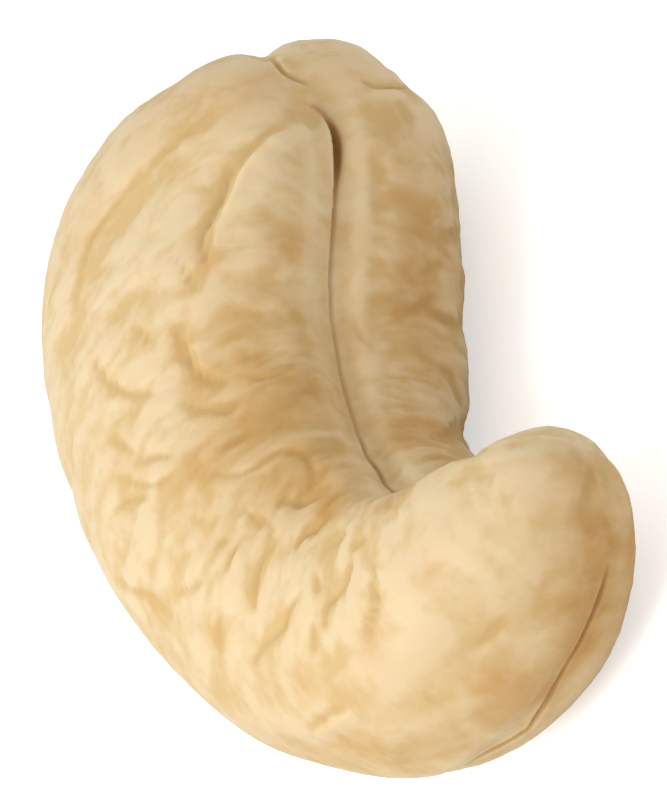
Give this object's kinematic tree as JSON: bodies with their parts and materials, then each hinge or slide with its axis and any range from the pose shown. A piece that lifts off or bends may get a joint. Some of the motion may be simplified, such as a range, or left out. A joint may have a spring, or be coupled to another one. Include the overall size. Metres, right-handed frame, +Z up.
{
  "type": "roasted cashew nut",
  "caption": "Whole roasted cashew kernel, curved and fat at one end, with an inner slit, an outer seam and a root nub, lying on its side.",
  "frame": {"origin": "middle of the bounding box at the surface that the kernel lies on", "axes": "+X towards the big end with the root nub, -Y towards the hollow side, +Z up, at right angles to the plane between the two seed leaves"},
  "size_m": [0.028, 0.0166, 0.0108],
  "materials": {
    "kernel": "dry roasted nut flesh, cream gold with toasted patches, semi-matt and a little waxy"
  },
  "bodies": {
    "root": {"kernel": "kernel"}
  },
  "joints": []
}
